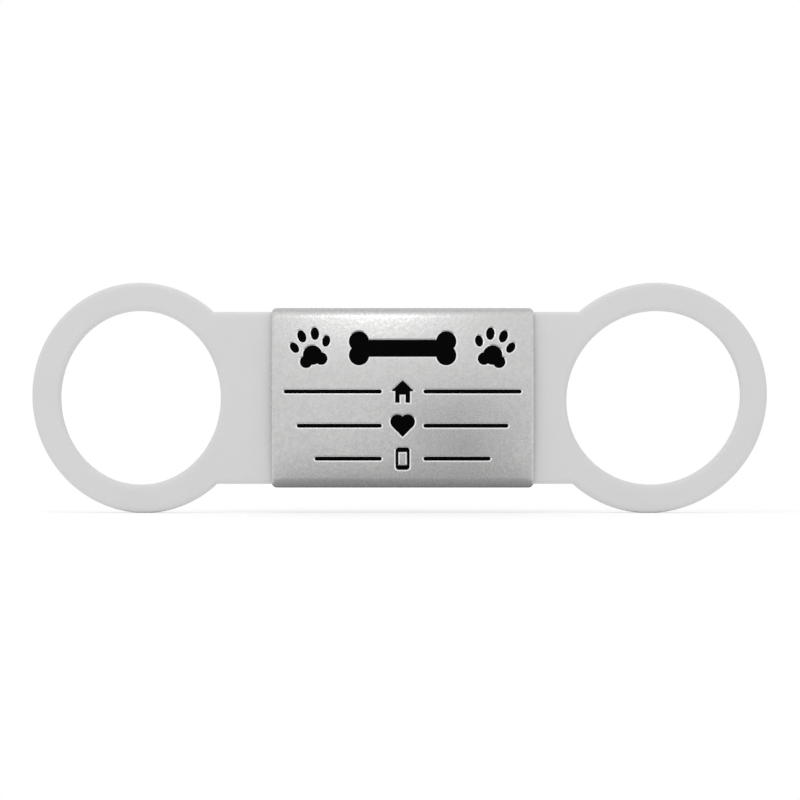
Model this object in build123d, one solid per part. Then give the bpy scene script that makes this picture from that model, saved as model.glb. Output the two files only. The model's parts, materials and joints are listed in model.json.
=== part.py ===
from build123d import *
import os

# A slide-on pet id tag: a moulded silicone band with a loop at each end, carrying a folded steel sleeve.
# Millimetres. +X runs along the band, +Z is up and the front faces -Y, as the tag is worn. The origin is
# the middle of the band, on the plane of the sleeve's back, where the tag lies against a collar.

# Silicone band
strap_width = 19.7          # height of the strap between the loops
strap_thickness = 2.0
band_edge_round = 0.5       # moulded rounding along the outline and round both hole rims
hole_radius = 10.0          # loop hole, for a 20 mm collar
ring_wall = 3.2             # silicone left round a hole
strap_show = 4.0            # strap between the sleeve, when centred, and a hole
shoulder_round = 0.5        # inside rounding where the strap runs into a ring
neck_margin = 0.3           # plain strap between a hole's rounded rim and the start of the neck
neck_length = 7.8           # stretch of the band that bends when a loop folds

# Steel sleeve
plate_length = 30.0
plate_offset = 0.3          # the sleeve sits this far right of the band's middle
sheet = 0.4                 # thickness of the steel
sleeve_clearance = 0.05     # between the strap and the inside of the sleeve
bend_inner_radius = 0.45    # inside the folds at the back
roll_inner_radius = 0.3     # inside the tighter folds at the front
front_crown = 0.3           # rise of the front face between its two folds
plate_corner_radius = 0.6   # corners of the plate, seen from the front
flange_corner_radius = 1.0  # free corners of the folded flanges
back_gap = 6.6              # between the two folded flanges

# Engraving
engraving_depth = 0.22
enamel_thickness = 0.07     # the enamel only covers the floor of the engraving
line_height = 0.45          # width of an engraved line's stroke
mark_margin = 1.4           # steel beside the longest row of marks
symbol_gap = 1.1            # between a symbol and the lines beside it
pictogram_gap = 2.0         # between the bone and a paw print

# Layout of the rows on the plate: places and heights follow the sleeve's height, lengths the longest row
pictogram_place_share = 0.275
pictogram_height_share = 0.225
pictogram_row_share = 0.94
line_place_shares = (0.035, -0.155, -0.338)
line_length_shares = (1.0, 0.89, 0.74)
symbol_height_share = 0.125

# Paw print, in shares of its height
toe_place_shares = ((-0.40, 0.10), (-0.165, 0.335), (0.165, 0.335), (0.40, 0.10))
toe_size_shares = ((0.098, 0.142), (0.105, 0.155), (0.105, 0.155), (0.098, 0.142))
toe_leans = (24.0, 8.0, -8.0, -24.0)
pad_place_shares = ((0.0, -0.17), (-0.19, -0.30), (0.19, -0.30))
pad_radius_shares = (0.24, 0.155, 0.155)
paw_width_share = 1.0
paw_lean = 12.0

# Bone, in shares of the pictogram height
bone_height_share = 0.84
bone_lobe_share = 0.25
bone_shaft_share = 0.42

# House and telephone symbols, in shares of their height
house_wall_share = 0.66
house_wall_height_share = 0.52
house_door_share = 0.27
house_door_height_share = 0.36
phone_width_share = 0.62
phone_corner_share = 0.14
phone_frame_share = 0.12
phone_screen_share = 0.58

# Worked-out sizes
ring_radius = hole_radius + ring_wall
hole_edge = plate_length / 2 + strap_show
ring_centre = hole_edge + hole_radius
band_end = ring_centre + ring_radius
neck_start = hole_edge - band_edge_round - neck_margin
neck_end = neck_start + neck_length
strap_back = -(sheet + sleeve_clearance)

sleeve_height = strap_width + 2 * (sleeve_clearance + sheet)
sleeve_depth = strap_thickness + 2 * (sleeve_clearance + sheet)
bend_outer_radius = bend_inner_radius + sheet
roll_outer_radius = roll_inner_radius + sheet
crown_radius = (sleeve_height / 2) ** 2 / (2 * front_crown) + front_crown / 2
crown_axis = crown_radius - sleeve_depth - front_crown

mark_length = plate_length - 2 * mark_margin
pictogram_height = pictogram_height_share * sleeve_height
symbol_height = symbol_height_share * sleeve_height
cut_overrun = sleeve_depth
front_reach = sleeve_depth + front_crown + cut_overrun

# Sketches are drawn as seen from the front, and grow towards the front when extruded.
plate_front = Plane((plate_offset, 0, 0), x_dir=(1, 0, 0), z_dir=(0, -1, 0))
strap_plane = Plane((0, strap_back, 0), x_dir=(1, 0, 0), z_dir=(0, -1, 0))
# Sections are drawn with the first axis towards the back and the second one up.
sleeve_section_plane = Plane((plate_offset, 0, 0), x_dir=(0, 1, 0), z_dir=(1, 0, 0))


def silicone_band():
    """The whole band as it leaves its mould: the strap, a ring at each end and the two holes."""
    ring_places = [Pos(-ring_centre, 0), Pos(ring_centre, 0)]
    outline = Rectangle(2 * ring_centre, strap_width)
    for place in ring_places:
        outline += place * Circle(ring_radius)
    shoulders = outline.vertices().filter_by(lambda v: abs(v.X) < ring_centre)
    outline = fillet(shoulders, shoulder_round)
    for place in ring_places:
        outline -= place * Circle(hole_radius)
    band = extrude(strap_plane * outline, strap_thickness)
    faces_by_depth = band.faces().sort_by(Axis.Y)
    rims = faces_by_depth[0].edges() + faces_by_depth[-1].edges()
    return fillet(rims, band_edge_round)


def band_stretch(band, low_x, high_x):
    """The part of the band between two places along its length."""
    window = Box(high_x - low_x, 2 * cut_overrun, 2 * ring_radius + cut_overrun)
    return band & Pos((low_x + high_x) / 2, strap_back, 0) * window


def sleeve_outline():
    """The sleeve's outer section: a flat back, a crowned front and a fold at the top and bottom."""
    top = sleeve_height / 2
    back_and_folds = Polyline((-sleeve_depth, top), (0, top), (0, -top), (-sleeve_depth, -top))
    crown = ThreePointArc((-sleeve_depth, -top), (-sleeve_depth - front_crown, 0), (-sleeve_depth, top))
    outline = make_face(back_and_folds + crown)
    outline = fillet(outline.vertices().sort_by(Axis.X)[:2], roll_outer_radius)
    return fillet(outline.vertices().sort_by(Axis.X)[-2:], bend_outer_radius)


def steel_sleeve():
    """The folded sheet before it is engraved, open along the middle of its back."""
    outer = sleeve_outline()
    opening = Rectangle(2 * (sheet + sleeve_clearance), back_gap)
    section = outer - offset(outer, amount=-sheet) - opening
    sleeve = extrude(sleeve_section_plane * section, plate_length / 2, both=True)
    trim = RectangleRounded(plate_length, sleeve_height, plate_corner_radius)
    sleeve = sleeve & extrude(plate_front * trim, front_reach, both=True)
    # The four through-thickness edges nearest the middle are the free corners of the two flanges.
    flange_corners = sleeve.edges().filter_by(Axis.Y).sort_by(lambda edge: abs(edge.center().Z))[:4]
    return fillet(flange_corners, flange_corner_radius)


def front_layer(top, bottom):
    """The layer of the plate's front between two depths below its crowned face."""
    ring = Circle(crown_radius - top) - Circle(crown_radius - bottom)
    window = Pos(-sleeve_depth, 0) * Rectangle(sleeve_depth, sleeve_height - 2 * roll_outer_radius)
    section = Pos(crown_axis, 0) * ring & window
    return extrude(sleeve_section_plane * section, plate_length / 2, both=True)


def row_place(along, place_share):
    """Where a mark sits on the plate: its distance along the row and the row's share of the height."""
    return Pos(along, place_share * sleeve_height)


def paw_print():
    """One paw print: four toes above a three-lobed pad, about its own middle."""
    paw = Sketch()
    for (across, up), (wide, high), lean in zip(toe_place_shares, toe_size_shares, toe_leans):
        toe = Ellipse(wide * pictogram_height, high * pictogram_height)
        paw += Pos(across * pictogram_height, up * pictogram_height) * Rot(0, 0, lean) * toe
    for (across, up), radius_share in zip(pad_place_shares, pad_radius_shares):
        lobe = Circle(radius_share * pictogram_height)
        paw += Pos(across * pictogram_height, up * pictogram_height) * lobe
    return paw


def paw_marks():
    """A paw print at each end of the top row, leaning outwards."""
    paw = paw_print()
    along = (pictogram_row_share * mark_length - paw_width_share * pictogram_height) / 2
    marks = Sketch()
    for side in (-1, 1):
        marks += row_place(side * along, pictogram_place_share) * Rot(0, 0, -side * paw_lean) * paw
    return marks


def bone_mark():
    """The bone between the two paw prints: a shaft with a pair of round lobes at each end."""
    paw_room = paw_width_share * pictogram_height + pictogram_gap
    length = pictogram_row_share * mark_length - 2 * paw_room
    height = bone_height_share * pictogram_height
    lobe = bone_lobe_share * pictogram_height
    bone = Rectangle(length - 2 * lobe, bone_shaft_share * pictogram_height)
    for side in (-1, 1):
        for rise in (-1, 1):
            bone += Pos(side * (length / 2 - lobe), rise * (height / 2 - lobe)) * Circle(lobe)
    return row_place(0, pictogram_place_share) * bone


def house_symbol():
    """A house with a pitched roof and a doorway, for the line that takes an address."""
    half = symbol_height / 2
    wall = house_wall_share * symbol_height / 2
    eaves = house_wall_height_share * symbol_height - half
    roof = make_face(Polyline((-half, eaves), (half, eaves), (0, half), close=True))
    walls = Pos(0, (eaves - half) / 2) * Rectangle(2 * wall, eaves + half)
    door_height = house_door_height_share * symbol_height
    door = Pos(0, door_height / 2 - half) * Rectangle(house_door_share * symbol_height, door_height)
    return roof + walls - door


def heart_symbol():
    """A heart: a square on its corner with a round lobe on each of its two upper sides."""
    # A heart of unit lobes is this high: from its lowest corner to the top of a lobe.
    unit_height = 1 + 3 / 2 ** 0.5
    lobe = symbol_height / unit_height
    shift = lobe / 2 ** 0.5
    heart = Rot(0, 0, 45) * Rectangle(2 * lobe, 2 * lobe)
    for side in (-1, 1):
        heart += Pos(side * shift, shift) * Circle(lobe)
    return Pos(0, (shift - lobe) / 2) * heart


def phone_symbol():
    """A telephone: an upright rounded frame round a plain screen."""
    width = phone_width_share * symbol_height
    frame = phone_frame_share * symbol_height
    body = RectangleRounded(width, symbol_height, phone_corner_share * symbol_height)
    return body - Rectangle(width - 2 * frame, phone_screen_share * symbol_height)


def symbol_marks():
    """The symbol in the middle of each line, from the top line down."""
    marks = Sketch()
    for symbol, place_share in zip((house_symbol(), heart_symbol(), phone_symbol()), line_place_shares):
        marks += row_place(0, place_share) * symbol
    return marks


def line_marks():
    """Three engraved lines with round ends, each left open in the middle for its symbol."""
    marks = Sketch()
    symbol_room = symbol_height / 2 + symbol_gap
    for length_share, place_share in zip(line_length_shares, line_place_shares):
        line_length = length_share * mark_length / 2 - symbol_room
        line_middle = symbol_room + line_length / 2
        for side in (-1, 1):
            stroke = SlotOverall(line_length, line_height)
            marks += row_place(side * line_middle, place_share) * stroke
    return marks


def mark_prism(marks):
    """The marks carried straight through the plate from back to front."""
    return extrude(plate_front * marks, front_reach)


band = silicone_band()
parts = {
    "strap_core": band_stretch(band, -neck_start, neck_start),
    "left_neck": band_stretch(band, -neck_end, -neck_start),
    "right_neck": band_stretch(band, neck_start, neck_end),
    "left_loop": band_stretch(band, -band_end - cut_overrun, -neck_end),
    "right_loop": band_stretch(band, neck_end, band_end + cut_overrun),
}

recess_layer = front_layer(-cut_overrun, engraving_depth)
enamel_layer = front_layer(engraving_depth - enamel_thickness, engraving_depth)
name_plate = steel_sleeve()
enamel_marks = {
    "bone_enamel": bone_mark(),
    "paw_enamel": paw_marks(),
    "symbol_enamel": symbol_marks(),
    "line_enamel": line_marks(),
}
for node, marks in enamel_marks.items():
    prism = mark_prism(marks)
    name_plate -= prism & recess_layer
    parts[node] = prism & enamel_layer
parts["name_plate"] = name_plate

os.makedirs("parts", exist_ok=True)
for node, shape in parts.items():
    export_step(shape, f"parts/{node}.step")
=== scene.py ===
"""Looks of a slide-on pet id tag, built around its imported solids.

A soft silicone band with a ring loop at each end carries a folded steel sleeve, whose engraving is filled
with black enamel. Lengths are in metres, and sizes are written in millimetres times MM.
"""

from __future__ import annotations

import json
import logging
import math
from dataclasses import dataclass
from enum import Enum
from typing import Any, Callable

import bmesh
import bpy
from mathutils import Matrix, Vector

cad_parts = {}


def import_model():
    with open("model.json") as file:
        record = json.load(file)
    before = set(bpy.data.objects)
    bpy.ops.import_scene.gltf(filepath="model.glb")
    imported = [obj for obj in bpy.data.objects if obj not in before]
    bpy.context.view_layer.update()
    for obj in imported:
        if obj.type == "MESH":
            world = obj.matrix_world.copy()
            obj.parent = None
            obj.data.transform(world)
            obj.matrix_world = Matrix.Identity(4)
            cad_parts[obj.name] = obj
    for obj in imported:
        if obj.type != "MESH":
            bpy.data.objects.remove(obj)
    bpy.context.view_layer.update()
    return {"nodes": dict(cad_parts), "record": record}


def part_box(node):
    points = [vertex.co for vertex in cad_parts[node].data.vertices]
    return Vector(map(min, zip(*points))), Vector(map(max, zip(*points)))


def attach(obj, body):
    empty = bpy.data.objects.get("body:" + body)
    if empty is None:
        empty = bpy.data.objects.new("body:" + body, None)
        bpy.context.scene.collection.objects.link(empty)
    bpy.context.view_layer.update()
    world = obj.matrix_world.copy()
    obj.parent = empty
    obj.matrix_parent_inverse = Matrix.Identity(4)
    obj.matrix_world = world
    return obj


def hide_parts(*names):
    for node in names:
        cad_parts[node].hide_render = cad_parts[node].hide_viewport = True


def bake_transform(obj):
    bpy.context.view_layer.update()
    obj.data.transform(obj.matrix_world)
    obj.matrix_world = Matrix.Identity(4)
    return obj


LOG = logging.getLogger("pet_tag")
ENAMEL_NODES = ("bone_enamel", "paw_enamel", "symbol_enamel", "line_enamel")
MM = 0.001
QUARTER = 0.5 * math.pi

# A point within HAIR of a plane lies on it, and points within DOUBLED of each other are one.
HAIR = 0.002 * MM
DOUBLED = 0.5 * HAIR

# A point lies on an oval when it is off by less than this share of the oval's size.
ON_OVAL = 1e-4

# Faces that meet at more than this angle have an edge between them, and others are one curved face.
SHARP = math.radians(60.0)


class Side(Enum):
    """The end of the band that a half belongs to; its value is the sign of X there."""

    LEFT = -1
    RIGHT = 1


class Signal:
    """A value that runs through a material's nodes, with plain arithmetic on it."""

    def __init__(self, graph: Graph, socket: bpy.types.NodeSocket) -> None:
        """Keep the socket, and the graph that its arithmetic is added to."""
        self.graph = graph
        self.socket = socket

    def _math(self, operation: str, first: Any, second: Any) -> Signal:
        """Add one Math node.

        Args:
            operation: The Math node's operation.
            first: The first value or signal.
            second: The second value or signal.

        Returns:
            The node's result.
        """
        return self.graph.signal("ShaderNodeMath", 0, {"operation": operation}, {0: first, 1: second})

    def __add__(self, other: Any) -> Signal:
        """This signal plus another."""
        return self._math("ADD", self, other)

    def __radd__(self, other: Any) -> Signal:
        """Another value plus this signal."""
        return self._math("ADD", other, self)

    def __sub__(self, other: Any) -> Signal:
        """This signal less another."""
        return self._math("SUBTRACT", self, other)

    def __rsub__(self, other: Any) -> Signal:
        """Another value less this signal."""
        return self._math("SUBTRACT", other, self)

    def __mul__(self, other: Any) -> Signal:
        """This signal times another."""
        return self._math("MULTIPLY", self, other)

    def __rmul__(self, other: Any) -> Signal:
        """Another value times this signal."""
        return self._math("MULTIPLY", other, self)

    def largest(self, other: Any) -> Signal:
        """The larger of this signal and another."""
        return self._math("MAXIMUM", self, other)

    def swing(self) -> Signal:
        """A noise from 0 to 1 as its swing about the middle."""
        return self - 0.5


class Graph:
    """The node tree of one material or world."""

    def __init__(self, tree: bpy.types.NodeTree) -> None:
        """Start from an empty tree."""
        self.tree = tree
        self.tree.nodes.clear()

    def node(self, kind: str, settings: dict[str, Any] | None = None,
             sockets: dict[str | int, Any] | None = None) -> bpy.types.Node:
        """Add any node.

        Args:
            kind: The node's type.
            settings: Its own settings, set first; stops is a ramp's two places and their greys.
            sockets: The values or signals of its input sockets.

        Returns:
            The new node.
        """
        made = self.tree.nodes.new(kind)
        for name, value in (settings or {}).items():
            if name == "stops":
                for element, (place, tone) in zip(made.color_ramp.elements, value):
                    element.position = place
                    element.color = (*grey(tone), 1.0)
            else:
                setattr(made, name, value)
        for name, value in (sockets or {}).items():
            if isinstance(value, Signal):
                self.tree.links.new(value.socket, made.inputs[name])
            else:
                made.inputs[name].default_value = value
        return made

    def signal(self, kind: str, output: str | int, settings: dict[str, Any] | None = None,
               sockets: dict[str | int, Any] | None = None) -> Signal:
        """Add any node and take one of its outputs.

        Args:
            kind: The node's type.
            output: The output socket's name or number.
            settings: The node's own settings.
            sockets: The values or signals of its input sockets.

        Returns:
            The output as a signal.
        """
        return Signal(self, self.node(kind, settings, sockets).outputs[output])

    def place(self) -> Signal:
        """The point on the piece, in metres."""
        return self.signal("ShaderNodeTexCoord", "Object")

    def cloud(self, place: Signal, size: float, detail: float = 2.0, rough: float = 0.5) -> Signal:
        """Soft noise between 0 and 1.

        Args:
            place: The point on the piece.
            size: The width of its patches.
            detail: How many finer layers it has.
            rough: How strong the finer layers are.

        Returns:
            The noise.
        """
        return self.signal("ShaderNodeTexNoise", "Fac", {"noise_dimensions": "3D"},
                           {"Vector": place, "Scale": 1.0 / size, "Detail": detail, "Roughness": rough})

    def ramp(self, value: Signal, start: float, end: float) -> Signal:
        """A ramp from 0 to 1.

        Args:
            value: The signal to look up.
            start: The value at which the ramp leaves 0.
            end: The value at which it reaches 1.

        Returns:
            The ramp's level, as a grey.
        """
        return self.signal("ShaderNodeValToRGB", "Color", {"stops": [(start, 0.0), (end, 1.0)]},
                           {"Fac": value})

    def tint(self, amount: Signal, dark: tuple[float, float, float],
             light: tuple[float, float, float]) -> Signal:
        """A colour between two.

        Args:
            amount: 0 for the dark colour, 1 for the light one.
            dark: The colour at 0.
            light: The colour at 1.

        Returns:
            The mixed colour.
        """
        factor, first, second, result = 0, 6, 7, 2
        return self.signal("ShaderNodeMix", result, {"data_type": "RGBA"},
                           {factor: amount, first: (*dark, 1.0), second: (*light, 1.0)})

    def bump(self, height: Signal, depth: float) -> Signal:
        """A bumped normal.

        Args:
            height: The height, from 0 to 1.
            depth: The length that a height of 1 stands for.

        Returns:
            The normal.
        """
        return self.signal("ShaderNodeBump", "Normal", None,
                           {"Strength": 1.0, "Distance": depth, "Height": height})

    def surface(self, sockets: dict[str | int, Any]) -> None:
        """End a material in a Principled shader.

        Args:
            sockets: The shader's values and signals.
        """
        shader = self.signal("ShaderNodeBsdfPrincipled", "BSDF", None, sockets)
        self.node("ShaderNodeOutputMaterial", None, {"Surface": shader})


def new_material(name: str) -> tuple[bpy.types.Material, Graph]:
    """Start a node material.

    Args:
        name: The material's name.

    Returns:
        The material and its empty graph.
    """
    material = bpy.data.materials.new(name)
    material.use_nodes = True
    return material, Graph(material.node_tree)


def grey(tone: float, warmth: float = 0.0) -> tuple[float, float, float]:
    """A grey, a little warm or cool.

    Args:
        tone: The grey's level.
        warmth: The share by which red is above and blue below it.

    Returns:
        The colour.
    """
    return (tone * (1.0 + warmth), tone, tone * (1.0 - warmth))


@dataclass(frozen=True)
class SiliconeFinish:
    """Matte moulded silicone: an even pale grey with the fine grain of a sand-blasted mould."""

    tone: float = 0.66
    mottle: float = 0.02
    roughness: float = 0.56
    cloud_size: float = 5.0 * MM
    cloud_detail: float = 3.0
    cloud_share: float = 0.75
    cloud_roughness: float = 0.1
    grain_size: float = 0.16 * MM
    grain_share: float = 0.25
    grain_roughness: float = 0.08
    grain_depth: float = 0.004 * MM

    def material(self) -> bpy.types.Material:
        """Mix the silicone.

        Returns:
            Its material.
        """
        made, graph = new_material("silicone")
        place = graph.place()
        cloud = graph.cloud(place, self.cloud_size, self.cloud_detail)
        grain = graph.cloud(place, self.grain_size)
        graph.surface({
            "Base Color": graph.tint(self.cloud_share * cloud + self.grain_share * grain,
                                     grey(self.tone - self.mottle), grey(self.tone + self.mottle)),
            "Roughness": self.roughness + self.cloud_roughness * cloud.swing()
                         + self.grain_roughness * grain.swing(),
            "Normal": graph.bump(grain, self.grain_depth),
        })
        return made


@dataclass(frozen=True)
class TumbledSteelFinish:
    """Stainless sheet tumbled to a satin: a fine pebbled grain, with paler worn specks."""

    tone: float = 0.585
    contrast: float = 0.05
    warmth: float = 0.004
    roughness: float = 0.28
    pebble_size: float = 0.42 * MM
    pebble_detail: float = 3.0
    pebble_crispness: float = 0.55
    pebble_share: float = 0.8
    pebble_depth: float = 0.012 * MM
    worn_range: tuple[float, float] = (0.35, 0.7)
    worn_share: float = 0.6
    worn_polish: float = 0.05
    fleck_size: float = 0.15 * MM
    fleck_detail: float = 1.0
    fleck_share: float = 0.2
    fleck_roughness: float = 0.12
    drift_size: float = 4.0 * MM
    drift_detail: float = 3.0
    drift_share: float = 0.4
    drift_roughness: float = 0.1

    def material(self) -> bpy.types.Material:
        """Mix the steel.

        Returns:
            Its material.
        """
        made, graph = new_material("tumbled_steel")
        place = graph.place()
        pebble = graph.cloud(place, self.pebble_size, self.pebble_detail, self.pebble_crispness)
        fleck = graph.cloud(place, self.fleck_size, self.fleck_detail)
        drift = graph.cloud(place, self.drift_size, self.drift_detail)
        worn = graph.ramp(pebble, *self.worn_range)
        graph.surface({
            "Base Color": graph.tint(self.worn_share * worn + self.drift_share * drift,
                                     grey(self.tone - self.contrast, self.warmth),
                                     grey(self.tone + self.contrast, self.warmth)),
            "Metallic": 1.0,
            "Roughness": self.roughness + self.drift_roughness * drift.swing()
                         + self.fleck_roughness * fleck.swing() - self.worn_polish * worn,
            "Normal": graph.bump(self.pebble_share * pebble + self.fleck_share * fleck, self.pebble_depth),
        })
        return made


@dataclass(frozen=True)
class BrightCutFinish:
    """Freshly cut steel in the engraving's walls: brighter and smoother than the tumbled face."""

    dark_tone: float = 0.84
    light_tone: float = 0.93
    roughness: float = 0.22
    chatter_size: float = 0.12 * MM
    chatter_detail: float = 1.0
    chatter_roughness: float = 0.15

    def material(self) -> bpy.types.Material:
        """Mix the cut steel.

        Returns:
            Its material.
        """
        made, graph = new_material("bright_cut_steel")
        chatter = graph.cloud(graph.place(), self.chatter_size, self.chatter_detail)
        graph.surface({
            "Base Color": graph.tint(chatter, grey(self.dark_tone), grey(self.light_tone)),
            "Metallic": 1.0,
            "Roughness": self.roughness + self.chatter_roughness * chatter.swing(),
        })
        return made


@dataclass(frozen=True)
class EnamelFinish:
    """Black enamel wiped into the engraving: dense, half glossy, a little uneven."""

    dark_tone: float = 0.0009
    light_tone: float = 0.0018
    roughness: float = 0.42
    gloss: float = 0.015
    ripple_size: float = 0.35 * MM
    ripple_roughness: float = 0.15
    ripple_depth: float = 0.004 * MM

    def material(self) -> bpy.types.Material:
        """Mix the enamel.

        Returns:
            Its material.
        """
        made, graph = new_material("black_enamel")
        ripple = graph.cloud(graph.place(), self.ripple_size)
        graph.surface({
            "Base Color": graph.tint(ripple, grey(self.dark_tone), grey(self.light_tone)),
            "Roughness": self.roughness + self.ripple_roughness * ripple.swing(),
            "Specular IOR Level": self.gloss,
            "Normal": graph.bump(ripple, self.ripple_depth),
        })
        return made


class Bench:
    """The piece on the bench: one mesh object, shaped with edit-mode tools as by hand."""

    def __init__(self, name: str) -> None:
        """Take the active object, and name it.

        Args:
            name: The name of the object and of its mesh.
        """
        self.piece = bpy.context.active_object
        self.piece.name = name
        self.piece.data.name = name

    @staticmethod
    def clear() -> None:
        """Deselect every object."""
        bpy.ops.object.select_all(action="DESELECT")

    def settle(self) -> None:
        """Put the object's place, turn and scale into its mesh."""
        bpy.ops.object.transform_apply(location=True, rotation=True, scale=True)

    def edit(self) -> None:
        """Open the piece for editing."""
        bpy.ops.object.mode_set(mode="EDIT")

    def close(self) -> None:
        """Close the piece after editing."""
        bpy.ops.object.mode_set(mode="OBJECT")

    def pick_all(self) -> None:
        """Select the whole mesh."""
        bpy.ops.mesh.select_all(action="SELECT")

    def pick_points(self, test: Callable[[Vector], bool]) -> None:
        """Select only the vertices that pass a test, with the edges and faces between them.

        Args:
            test: Says whether a vertex at a place is wanted.
        """
        bpy.ops.mesh.select_mode(type="VERT")
        bpy.ops.mesh.select_all(action="DESELECT")
        shape = bmesh.from_edit_mesh(self.piece.data)
        for vertex in shape.verts:
            if test(vertex.co):
                vertex.select_set(True)
        shape.select_flush(True)
        bmesh.update_edit_mesh(self.piece.data)

    def pick_edges(self, test: Callable[[bmesh.types.BMEdge], bool]) -> None:
        """Select only the edges that pass a test.

        Args:
            test: Says whether an edge is wanted.
        """
        bpy.ops.mesh.select_mode(type="EDGE")
        bpy.ops.mesh.select_all(action="DESELECT")
        shape = bmesh.from_edit_mesh(self.piece.data)
        for edge in shape.edges:
            if test(edge):
                edge.select_set(True)
        bmesh.update_edit_mesh(self.piece.data)

    def pick_faces(self, test: Callable[[bmesh.types.BMFace], bool]) -> None:
        """Select only the faces that pass a test.

        Args:
            test: Says whether a face is wanted.
        """
        bpy.ops.mesh.select_mode(type="FACE")
        bpy.ops.mesh.select_all(action="DESELECT")
        shape = bmesh.from_edit_mesh(self.piece.data)
        for face in shape.faces:
            face.select_set(test(face))
        bmesh.update_edit_mesh(self.piece.data)

    def merge(self) -> None:
        """Make doubled points one."""
        self.pick_all()
        bpy.ops.mesh.remove_doubles(threshold=DOUBLED)

    def face_out(self) -> None:
        """Merge doubled points and turn every face outwards."""
        self.merge()
        self.pick_all()
        bpy.ops.mesh.normals_make_consistent(inside=False)

    def modify(self, kind: str, **settings: Any) -> None:
        """Add a modifier and apply it.

        Args:
            kind: The modifier's type.
            settings: Its settings.
        """
        made = self.piece.modifiers.new(kind.lower(), kind)
        for name, value in settings.items():
            setattr(made, name, value)
        bpy.context.view_layer.objects.active = self.piece
        bpy.ops.object.modifier_apply(modifier=made.name)

    def smooth(self, angle: float) -> None:
        """Shade smooth, except over edges sharper than an angle.

        Args:
            angle: That angle, in degrees.
        """
        self.clear()
        self.piece.select_set(True)
        bpy.context.view_layer.objects.active = self.piece
        bpy.ops.object.shade_smooth_by_angle(angle=math.radians(angle))


@dataclass(frozen=True)
class Oval:
    """An oval round a loop: its middle along X, its half length and half height, and its lean along X."""

    middle: float
    reach: float
    rise: float
    lean: float = 0.0

    def point(self, turn: float, side: Side, depth: float) -> Vector:
        """A point of the oval.

        Args:
            turn: The angle up from the point that is nearest to the strap.
            side: The end of the band.
            depth: The point's Y.

        Returns:
            The point.
        """
        up = self.rise * math.sin(turn)
        along = self.middle + self.lean * up - side.value * self.reach * math.cos(turn)
        return Vector((along, depth, up))

    def carries(self, place: Vector) -> bool:
        """Whether a point lies on the oval."""
        along = place.x - self.middle - self.lean * place.z
        return abs(math.hypot(along / self.reach, place.z / self.rise) - 1.0) < ON_OVAL


@dataclass(frozen=True)
class LoopLie:
    """How a soft loop lies: how far its hole and rim shift, narrow and lean along the band."""

    hole_shift: float = 0.0
    hole_narrow: float = 0.0
    hole_lean: float = 0.0
    rim_shift: float = 0.0
    rim_narrow: float = 0.0
    rim_lean: float = 0.0


LIES = {
    Side.LEFT: LoopLie(hole_shift=0.77 * MM, hole_narrow=0.8 * MM,
                       rim_shift=0.6 * MM, rim_narrow=0.61 * MM, rim_lean=0.02),
    Side.RIGHT: LoopLie(hole_shift=0.1 * MM, hole_lean=0.035,
                        rim_shift=-0.05 * MM, rim_narrow=0.05 * MM, rim_lean=0.035),
}


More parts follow.
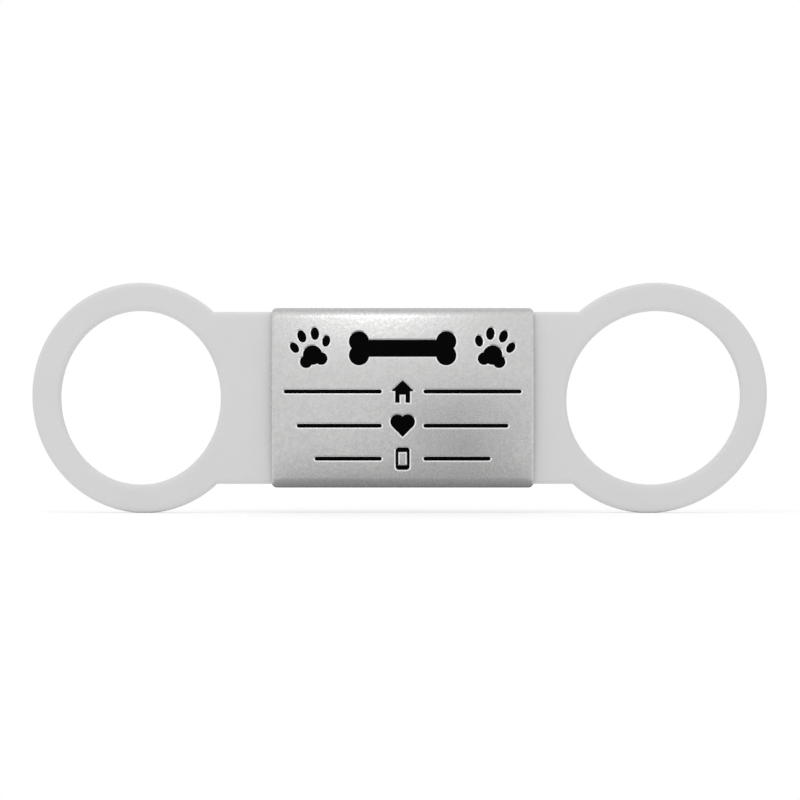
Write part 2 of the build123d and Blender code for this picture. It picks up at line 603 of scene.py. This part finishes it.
@dataclass
class BandHalf:
    """One half of the silicone band: a ring loop and the strap from it to the band's middle."""

    side: Side
    hole: Oval
    rim: Oval
    strap_half: float
    front: float
    back: float
    neck: tuple[float, float]
    edge_round: float = 0.5 * MM
    edge_steps: int = 5
    strap_rows: int = 14
    margin_row: float = 0.85 * MM
    ring_steps: int = 132
    wall_rows: int = 3
    strap_shares: tuple[float, ...] = (0.025, 0.1, 0.25, 0.4, 0.55, 0.7, 0.85, 1.0)
    flash_half: float = 0.05 * MM
    flash_steps: int = 2
    flash_height: float = 0.03 * MM
    stiff_end: float = 0.7 * MM
    bend_strips: int = 28
    strip_snap: float = 0.02 * MM
    crease: float = 55.0
    piece: bpy.types.Object | None = None

    def bend(self) -> tuple[float, float]:
        """The X at which the neck starts and stops bending, since its ends stay stiff."""
        sign = self.side.value
        return sign * (self.neck[0] + self.stiff_end), sign * (self.neck[1] - self.stiff_end)

    def turns(self) -> list[float]:
        """The angles at which the loop's outline has its points.

        Returns:
            The angles in order, from the strap's lower edge over the strap's end and then round the ring.
        """
        inner = self.strap_half - self.margin_row
        rows = [inner * step / self.strap_rows for step in range(-self.strap_rows, self.strap_rows + 1)]
        rows = [-self.strap_half, *rows, self.strap_half]
        near = [math.asin(row / self.rim.rise) for row in rows]
        shoulder = near[-1]
        step = (2.0 * math.pi - 2.0 * shoulder) / self.ring_steps
        return near + [shoulder + step * count for count in range(1, self.ring_steps)]

    def lay_loop(self, bench: Bench, oval: Oval, turns: list[float], first: int) -> None:
        """Place the points of a circle on an oval.

        Args:
            bench: The piece.
            oval: The oval.
            turns: The angles of its points.
            first: The number of the circle's first point in the mesh.
        """
        shape = bmesh.from_edit_mesh(bench.piece.data)
        shape.verts.ensure_lookup_table()
        for count, turn in enumerate(turns):
            shape.verts[first + count].co = oval.point(turn, self.side, self.front)
        bmesh.update_edit_mesh(bench.piece.data)

    def build(self) -> bpy.types.Object:
        """Model the half.

        Returns:
            The finished piece.
        """
        turns = self.turns()
        Bench.clear()
        bpy.ops.mesh.primitive_circle_add(vertices=len(turns), radius=self.hole.rise)
        bench = Bench(f"{self.side.name.lower()}_band")
        bench.edit()
        self.lay_loop(bench, self.hole, turns, 0)
        bpy.ops.mesh.primitive_circle_add(vertices=len(turns), radius=self.rim.rise)
        self.lay_loop(bench, self.rim, turns, len(turns))
        bench.pick_all()
        bpy.ops.mesh.bridge_edge_loops(number_cuts=self.wall_rows, interpolation="LINEAR", smoothness=0.0)
        self.draw_strap(bench)
        self.thicken(bench)
        self.round_edges(bench)
        self.raise_flash(bench)
        self.score_neck(bench)
        bench.close()
        bench.smooth(self.crease)
        self.piece = bench.piece
        return bench.piece

    def draw_strap(self, bench: Bench) -> None:
        """Extrude the strap from the ring's inner side to the band's middle.

        Args:
            bench: The piece.
        """
        def faces_strap(place: Vector) -> bool:
            """Whether a point is on the part of the rim that the strap grows from."""
            inward = self.side.value * (self.rim.middle - place.x) > 0.0
            return inward and abs(place.z) < self.strap_half + HAIR and self.rim.carries(place)

        bench.pick_points(faces_strap)
        left = 1.0
        for share in self.strap_shares:
            bpy.ops.mesh.extrude_edges_move(TRANSFORM_OT_translate={"value": (0.0, 0.0, 0.0)})
            bpy.ops.transform.resize(value=((1.0 - share) / left, 1.0, 1.0), center_override=(0.0, 0.0, 0.0))
            left = 1.0 - share

    def thicken(self, bench: Bench) -> None:
        """Give the flat shape its thickness, in two layers that meet at the mould's parting.

        Args:
            bench: The piece.
        """
        layer = 0.5 * (self.back - self.front)
        bench.pick_all()
        for _ in range(2):
            bpy.ops.mesh.extrude_region_move(TRANSFORM_OT_translate={"value": (0.0, layer, 0.0)})
        bench.face_out()

    def round_edges(self, bench: Bench) -> None:
        """Round the edges of the front and back, but not at the seam in the band's middle.

        Args:
            bench: The piece.
        """
        def is_rim(edge: bmesh.types.BMEdge) -> bool:
            """Whether an edge lies between a flat face and a side wall."""
            at_seam = all(abs(end.co.x) < HAIR for end in edge.verts)
            return not at_seam and edge.calc_face_angle(0.0) > SHARP

        bench.pick_edges(is_rim)
        bpy.ops.mesh.bevel(offset=self.edge_round, segments=self.edge_steps, affect="EDGES")

    def raise_flash(self, bench: Bench) -> None:
        """Raise the fine line that the mould's parting leaves round the side walls.

        Args:
            bench: The piece.
        """
        parting = 0.5 * (self.front + self.back)

        def is_parting(edge: bmesh.types.BMEdge) -> bool:
            """Whether an edge runs along the parting."""
            at_seam = all(abs(end.co.x) < HAIR for end in edge.verts)
            return not at_seam and all(abs(end.co.y - parting) < HAIR for end in edge.verts)

        bench.pick_edges(is_parting)
        bpy.ops.mesh.bevel(offset=self.flash_half, segments=self.flash_steps, affect="EDGES")
        bench.pick_points(lambda place: abs(place.y - parting) < HAIR and abs(place.x) > HAIR)
        bpy.ops.transform.shrink_fatten(value=self.flash_height)

    def score_neck(self, bench: Bench) -> None:
        """Divide the neck into narrow upright strips, so that it bends in a smooth curve.

        Args:
            bench: The piece.
        """
        start, end = self.bend()
        for step in range(self.bend_strips + 1):
            along = start + (end - start) * step / self.bend_strips
            bench.pick_all()
            bpy.ops.mesh.bisect(plane_co=(along, 0.0, 0.0), plane_no=(1.0, 0.0, 0.0),
                                threshold=self.strip_snap)

    def dress(self, material: bpy.types.Material, *nodes: str) -> None:
        """Give the half its finish, hide the solids that it stands for, and put its place into its mesh.

        Args:
            material: The silicone.
            nodes: The solids that the half stands for.
        """
        self.piece.data.materials.append(material)
        start, end = self.bend()
        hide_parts(*nodes)
        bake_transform(self.piece)


@dataclass
class NameSleeve:
    """The folded steel sleeve: a crowned front and two flanges behind the strap."""

    low: Vector
    high: Vector
    crown: float = 0.3 * MM
    sheet: float = 0.4 * MM
    bend: float = 0.85 * MM
    fold: float = 0.7 * MM
    roll: float = 4.0 * MM
    roll_angle: float = 12.0
    corner: float = 0.6 * MM
    flange_corner: float = 1.0 * MM
    back_gap: float = 6.6 * MM
    tumble: float = 0.1 * MM
    tumble_steps: int = 4
    bend_steps: int = 12
    roll_steps: int = 8
    crown_steps: int = 28
    columns: int = 12
    end_column: float = 0.35 * MM
    corner_rows: int = 6
    corner_zone: float = 1.6 * MM
    front_facing: float = -0.9
    wall_height: float = 0.3 * MM
    wall_lean: float = 1.1
    least_spread: float = 0.5
    crease: float = 28.0
    piece: bpy.types.Object | None = None

    def __post_init__(self) -> None:
        """Work out the section from the driving sizes."""
        self.middle = 0.5 * (self.low.x + self.high.x)
        self.half_length = 0.5 * (self.high.x - self.low.x)
        self.half_height = 0.5 * (self.high.z - self.low.z)
        depth = self.high.y - self.low.y
        self.crown_radius = self.half_height ** 2 / (2.0 * self.crown) + 0.5 * self.crown
        self.crown_axis = self.crown_radius - depth
        self.bend_axis = self.half_height - self.bend
        self.fold_axis = self.half_height - self.fold
        steep = math.radians(self.roll_angle)
        roll_axis = self.fold_axis - (self.roll - self.fold) * math.sin(steep)
        arm = self.crown_radius - self.roll
        self.crown_angle = math.asin(roll_axis / arm)
        self.roll_height = roll_axis
        self.roll_depth = self.crown_axis - arm * math.cos(self.crown_angle)
        self.fold_depth = self.roll_depth - (self.roll - self.fold) * math.cos(steep)

    def build(self, inlays: list[bpy.types.Object], steel: bpy.types.Material,
              cut_steel: bpy.types.Material) -> bpy.types.Object:
        """Model the sleeve and engrave it.

        Args:
            inlays: The enamel solids that lie in the engraving.
            steel: The finish of the sheet.
            cut_steel: The finish of the engraving's walls.

        Returns:
            The finished piece.
        """
        bench = self.fold_sheet()
        bench.piece.data.materials.append(steel)
        self.lay_grid(bench)
        self.round_corners(bench)
        bench.edit()
        bench.face_out()
        bench.close()
        bench.modify("SOLIDIFY", thickness=self.sheet, offset=-1.0, use_even_offset=True)
        bench.modify("BEVEL", width=self.tumble, segments=self.tumble_steps, limit_method="ANGLE",
                     angle_limit=SHARP)
        for inlay in inlays:
            self.engrave(bench, inlay, cut_steel)
        bench.smooth(self.crease)
        self.piece = bench.piece
        return bench.piece

    def fold_sheet(self) -> Bench:
        """Fold a strip from the lower flange round the front to the upper flange.

        Returns:
            The piece, as a sheet without thickness.
        """
        flange = self.bend_axis - 0.5 * self.back_gap
        level = -0.5 * (self.bend_axis + 0.5 * self.back_gap)
        Bench.clear()
        bpy.ops.mesh.primitive_plane_add(size=1.0, location=(self.middle, 0.0, level),
                                         rotation=(QUARTER, 0.0, 0.0))
        bench = Bench("name_sleeve")
        bench.piece.scale = (2.0 * self.half_length, flange, 1.0)
        bench.settle()
        bench.edit()
        bench.pick_points(lambda place: place.z < level)
        steep = math.radians(self.roll_angle)
        side_wall = self.fold_depth + self.bend
        self.turn_sheet(-self.bend, -self.bend_axis, QUARTER, self.bend_steps)
        self.push_sheet((0.0, side_wall, 0.0))
        self.turn_sheet(self.fold_depth, -self.fold_axis, QUARTER - steep, self.bend_steps)
        self.turn_sheet(self.roll_depth, -self.roll_height, steep - self.crown_angle, self.roll_steps)
        self.turn_sheet(self.crown_axis, 0.0, 2.0 * self.crown_angle, self.crown_steps)
        self.turn_sheet(self.roll_depth, self.roll_height, steep - self.crown_angle, self.roll_steps)
        self.turn_sheet(self.fold_depth, self.fold_axis, QUARTER - steep, self.bend_steps)
        self.push_sheet((0.0, -side_wall, 0.0))
        self.turn_sheet(-self.bend, self.bend_axis, QUARTER, self.bend_steps)
        self.push_sheet((0.0, 0.0, -flange))
        bench.close()
        return bench

    def turn_sheet(self, across: float, up: float, angle: float, steps: int) -> None:
        """Spin the sheet's selected edge round an axis along X.

        Args:
            across: The axis's Y.
            up: The axis's Z.
            angle: The angle to turn.
            steps: The number of steps.
        """
        bpy.ops.mesh.spin(steps=steps, angle=angle, center=(self.middle, across, up), axis=(1.0, 0.0, 0.0))

    def push_sheet(self, move: tuple[float, float, float]) -> None:
        """Extrude the sheet's selected edge."""
        bpy.ops.mesh.extrude_edges_move(TRANSFORM_OT_translate={"value": move})

    def lay_grid(self, bench: Bench) -> None:
        """Divide the sheet into columns, and its flanges into rows at their rounded corners.

        Args:
            bench: The piece.
        """
        ends = self.half_length - self.end_column
        places = [ends * (2.0 * step / self.columns - 1.0) for step in range(self.columns + 1)]
        turns = [QUARTER * step / self.corner_rows for step in range(1, self.corner_rows + 1)]
        rows = [0.5 * self.back_gap + self.flange_corner * (1.0 - math.cos(turn)) for turn in turns]
        bench.edit()
        for place in places:
            bench.pick_all()
            bpy.ops.mesh.bisect(plane_co=(self.middle + place, 0.0, 0.0), plane_no=(1.0, 0.0, 0.0))
        for row in rows:
            for sign in (-1.0, 1.0):
                bench.pick_points(lambda place: place.y > -HAIR)
                bpy.ops.mesh.bisect(plane_co=(0.0, 0.0, sign * row), plane_no=(0.0, 0.0, 1.0))
        bench.close()

    def round_corners(self, bench: Bench) -> None:
        """Draw the ends of the sheet in where its corners are rounded.

        Args:
            bench: The piece.
        """
        start = self.half_length - self.corner_zone
        for vertex in bench.piece.data.vertices:
            place = vertex.co
            out = abs(place.x - self.middle)
            share = max(0.0, (out - start) / self.corner_zone)
            over = abs(place.z) - (self.half_height - self.corner)
            short = 0.0
            if over > 0.0:
                short = self.corner - math.sqrt(max(0.0, self.corner ** 2 - over ** 2))
            free = self.flange_corner - (abs(place.z) - 0.5 * self.back_gap)
            if place.y > -HAIR and free > 0.0:
                short = self.flange_corner - math.sqrt(max(0.0, self.flange_corner ** 2 - free ** 2))
            place.x -= math.copysign(short * share, place.x - self.middle)

    def engrave(self, bench: Bench, inlay: bpy.types.Object, cut_steel: bpy.types.Material) -> None:
        """Cut the recess of an inlay, with walls that lean outwards above the enamel.

        Args:
            bench: The sleeve.
            inlay: The enamel solid.
            cut_steel: The finish of the recess.
        """
        name = f"{inlay.name}_cutter"
        copy = bpy.data.objects.new(name, inlay.data.copy())
        bpy.context.scene.collection.objects.link(copy)
        Bench.clear()
        copy.select_set(True)
        bpy.context.view_layer.objects.active = copy
        cutter = Bench(name)
        copy.data.materials.clear()
        copy.data.materials.append(cut_steel)
        bpy.ops.mesh.customdata_custom_splitnormals_clear()
        cutter.edit()
        cutter.merge()
        cutter.pick_faces(lambda face: face.normal.y < self.front_facing)
        bpy.ops.mesh.extrude_region_move(TRANSFORM_OT_translate={"value": (0.0, -self.wall_height, 0.0)})
        self.lean_walls(copy.data)
        cutter.close()
        bench.modify("BOOLEAN", operation="DIFFERENCE", object=copy, solver="EXACT", use_self=True,
                     material_mode="TRANSFER")
        bpy.data.objects.remove(copy)

    def lean_walls(self, mesh: bpy.types.Mesh) -> None:
        """Move the rim of the selected top faces outwards, in step with how far it was raised.

        Args:
            mesh: The cutter's mesh, open for editing.
        """
        shape = bmesh.from_edit_mesh(mesh)
        shape.normal_update()
        moves: dict[bmesh.types.BMVert, Vector] = {}
        for vertex in shape.verts:
            walls = []
            for edge in vertex.link_edges:
                sides = [face.normal for face in edge.link_faces if not face.select]
                if len(edge.link_faces) == 2 and len(sides) == 1:
                    walls.append(Vector((sides[0].x, 0.0, sides[0].z)).normalized())
            if len(walls) == 2:
                spread = max(self.least_spread, 1.0 + walls[0].dot(walls[1]))
                moves[vertex] = (walls[0] + walls[1]) * (self.wall_lean * self.wall_height / spread)
        for vertex, move in moves.items():
            vertex.co += move
        bmesh.update_edit_mesh(mesh)

    def dress(self, *nodes: str) -> None:
        """Hide the solids that the sleeve stands for, and let it ride on the sleeve's body.

        Args:
            nodes: The solids that the sleeve stands for.
        """
        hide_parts(*nodes)
        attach(self.piece, "sleeve")


@dataclass
class EnamelInlays:
    """The enamel in the engraving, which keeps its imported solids."""

    pieces: list[bpy.types.Object]

    def dress(self, material: bpy.types.Material) -> None:
        """Give every inlay the enamel.

        Args:
            material: The enamel.
        """
        for piece in self.pieces:
            piece.data.materials.clear()
            piece.data.materials.append(material)


class Shows(Enum):
    """Where a lamp shows: as light on matt surfaces, or as a sheen on polished ones."""

    LIGHT = 0
    SHEEN = 1


@dataclass(frozen=True)
class Lamp:
    """A round soft lamp: where it hangs, its width and its power."""

    name: str
    shows: Shows
    place: Vector
    width: float
    power: float

    def hang(self, target: Vector) -> None:
        """Hang the lamp.

        Args:
            target: The point that it faces.
        """
        Bench.clear()
        bpy.ops.object.light_add(type="AREA", location=self.place)
        lamp = bpy.context.active_object
        lamp.name = self.name
        lamp.data.shape = "DISK"
        lamp.data.size = self.width
        lamp.data.energy = self.power
        lamp.rotation_euler = (target - self.place).to_track_quat("-Z", "Y").to_euler()
        lamp.visible_camera = False
        lamp.visible_diffuse = self.shows is Shows.LIGHT
        lamp.visible_glossy = self.shows is Shows.SHEEN


@dataclass(frozen=True)
class Flag:
    """A card that shows only in a sheen: its grey, its middle, its width and depth, and its tilt."""

    name: str
    tone: float
    middle: Vector
    size: tuple[float, float]
    tilt: float = 0.0

    def stand(self) -> None:
        """Put the card in its place."""
        Bench.clear()
        bpy.ops.mesh.primitive_plane_add(size=1.0, location=self.middle,
                                         rotation=(math.radians(self.tilt), 0.0, 0.0))
        bench = Bench(self.name)
        bench.piece.scale = (*self.size, 1.0)
        bench.settle()
        material, graph = new_material(f"{self.name}_card")
        graph.surface({"Base Color": (*grey(self.tone), 1.0), "Roughness": 1.0})
        card = bench.piece
        card.data.materials.append(material)
        card.visible_camera = False
        card.visible_diffuse = False
        card.visible_shadow = False
        card.visible_transmission = False


@dataclass
class Studio:
    """The floor, the light and the camera."""

    floor_level: float
    middle: Vector
    frame_width: float = 91.95 * MM
    lens: float = 135.0
    sensor: float = 36.0
    camera_drop: float = 0.25 * MM
    clip: tuple[float, float] = (0.01, 100.0)
    ambient: float = 0.85
    floor_size: float = 6.0
    floor_tone: float = 0.98
    shadow_reach: tuple[float, float] = (0.05, 0.11)
    shadow_depth: float = 0.5
    lamps: tuple[Lamp, ...] = (
        Lamp("key_lamp", Shows.LIGHT, place=Vector((-50.0, -60.0, 270.0)) * MM,
             width=160.0 * MM, power=0.2),
        Lamp("sheen_lamp", Shows.SHEEN, place=Vector((-3.9, -80.0, 27.0)) * MM,
             width=12.0 * MM, power=0.0017),
    )
    flags: tuple[Flag, ...] = (
        Flag("floor_flag", tone=0.42, middle=Vector((0.5, -20.0, -13.1)) * MM,
             size=(32.0 * MM, 50.0 * MM)),
        Flag("side_flag", tone=0.44, middle=Vector((8.2, -60.0, -7.0)) * MM,
             size=(11.2 * MM, 16.0 * MM), tilt=90.0),
        Flag("top_flag", tone=0.9, middle=Vector((0.0, 0.0, 40.0)) * MM,
             size=(120.0 * MM, 80.0 * MM)),
        Flag("back_flag", tone=0.45, middle=Vector((0.0, 45.0, -13.1)) * MM,
             size=(120.0 * MM, 60.0 * MM)),
    )

    def build(self) -> None:
        """Set up the whole studio."""
        bpy.context.scene.view_settings.view_transform = "Standard"
        self.lay_floor()
        self.light_world()
        for lamp in self.lamps:
            lamp.hang(self.middle)
        for flag in self.flags:
            flag.stand()
        self.place_camera()

    @staticmethod
    def seen_plainly(graph: Graph) -> Signal:
        """1 for rays that show the background itself, from the camera, a gloss or a glass.

        Args:
            graph: The graph to add it to.

        Returns:
            The mask.
        """
        path = graph.node("ShaderNodeLightPath")
        camera = Signal(graph, path.outputs["Is Camera Ray"])
        gloss = Signal(graph, path.outputs["Is Glossy Ray"])
        glass = Signal(graph, path.outputs["Is Transmission Ray"])
        return camera.largest(gloss).largest(glass)

    def lay_floor(self) -> None:
        """Lay a white floor that keeps a pale shadow near the tag and is plain white further out."""
        Bench.clear()
        bpy.ops.mesh.primitive_plane_add(size=self.floor_size, location=(0.0, 0.0, self.floor_level))
        floor = Bench("floor").piece
        material, graph = new_material("white_floor")
        spread = graph.signal("ShaderNodeVectorMath", "Value", {"operation": "LENGTH"}, {0: graph.place()})
        far = graph.signal("ShaderNodeMapRange", "Result", {"interpolation_type": "SMOOTHSTEP"},
                           {"Value": spread, "From Min": self.shadow_reach[0],
                            "From Max": self.shadow_reach[1]})
        matt = graph.signal("ShaderNodeBsdfDiffuse", "BSDF", None, {"Color": (*grey(self.floor_tone), 1.0)})
        white = graph.signal("ShaderNodeEmission", "Emission", None, {"Strength": 1.0})
        plain = far * self.shadow_depth + (1.0 - self.shadow_depth)
        mixed = graph.signal("ShaderNodeMixShader", 0, None,
                             {0: self.seen_plainly(graph) * plain, 1: matt, 2: white})
        graph.node("ShaderNodeOutputMaterial", None, {"Surface": mixed})
        floor.data.materials.append(material)

    def light_world(self) -> None:
        """White all round, softer as a light than as a background."""
        world = bpy.data.worlds.new("white_room")
        world.use_nodes = True
        graph = Graph(world.node_tree)
        white = (*grey(1.0), 1.0)
        light = graph.signal("ShaderNodeBackground", 0, None, {"Color": white, "Strength": self.ambient})
        shown = graph.signal("ShaderNodeBackground", 0, None, {"Color": white, "Strength": 1.0})
        mixed = graph.signal("ShaderNodeMixShader", 0, None,
                             {0: self.seen_plainly(graph), 1: light, 2: shown})
        graph.node("ShaderNodeOutputWorld", None, {"Surface": mixed})
        bpy.context.scene.world = world

    def place_camera(self) -> None:
        """Stand the camera straight in front of the tag."""
        distance = self.frame_width * self.lens / self.sensor
        Bench.clear()
        bpy.ops.object.camera_add(location=self.middle - Vector((0.0, distance, self.camera_drop)),
                                  rotation=(QUARTER, 0.0, 0.0))
        camera = bpy.context.active_object
        camera.data.lens = self.lens
        camera.data.sensor_width = self.sensor
        camera.data.clip_start, camera.data.clip_end = self.clip
        bpy.context.scene.camera = camera


def band_halves(record: dict[str, Any]) -> list[BandHalf]:
    """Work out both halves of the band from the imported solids.

    Args:
        record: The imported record.

    Returns:
        The left and right halves.
    """
    strap_low, strap_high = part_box("strap_core")
    holes = {mount["name"]: mount for mount in record["mounts"]}
    halves = []
    for side in Side:
        word = side.name.lower()
        low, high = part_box(f"{word}_loop")
        mount = holes[f"{word}_loop_hole"]
        rise = high.z
        outer = max(abs(low.x), abs(high.x))
        lie = LIES[side]
        radius = mount["dims"]["r_mm"] * MM
        sign = side.value
        hole = Oval(middle=mount["pos_m"][0] + sign * lie.hole_shift, reach=radius - lie.hole_narrow,
                    rise=radius, lean=sign * lie.hole_lean)
        rim = Oval(middle=sign * (outer - rise + lie.rim_shift), reach=rise - lie.rim_narrow,
                   rise=rise, lean=sign * lie.rim_lean)
        near, far = sorted(abs(corner.x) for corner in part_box(f"{word}_neck"))
        halves.append(BandHalf(side, hole, rim, strap_half=strap_high.z, front=strap_low.y,
                               back=strap_high.y, neck=(near, far)))
    return halves


def report(piece: bpy.types.Object) -> None:
    """Log a finished piece."""
    LOG.info("%s: %d faces", piece.name, len(piece.data.polygons))


def main() -> None:
    """Build the tag and its studio."""
    logging.basicConfig(level=logging.INFO, format="%(name)s: %(message)s")
    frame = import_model()
    silicone = SiliconeFinish().material()
    steel = TumbledSteelFinish().material()
    enamel = EnamelFinish().material()

    for half in band_halves(frame["record"]):
        report(half.build())
        word = half.side.name.lower()
        nodes = [f"{word}_neck", f"{word}_loop"]
        if half.side is Side.RIGHT:
            nodes.append("strap_core")
        half.dress(silicone, *nodes)

    inlays = [frame["nodes"][name] for name in ENAMEL_NODES]
    sleeve = NameSleeve(*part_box("name_plate"))
    report(sleeve.build(inlays, steel, BrightCutFinish().material()))
    sleeve.dress("name_plate")
    EnamelInlays(inlays).dress(enamel)
    for inlay in inlays:
        report(inlay)

    low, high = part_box("right_loop")
    Studio(floor_level=low.z, middle=Vector((0.0, 0.5 * (low.y + high.y), 0.0))).build()


if __name__ == "__main__":
    main()
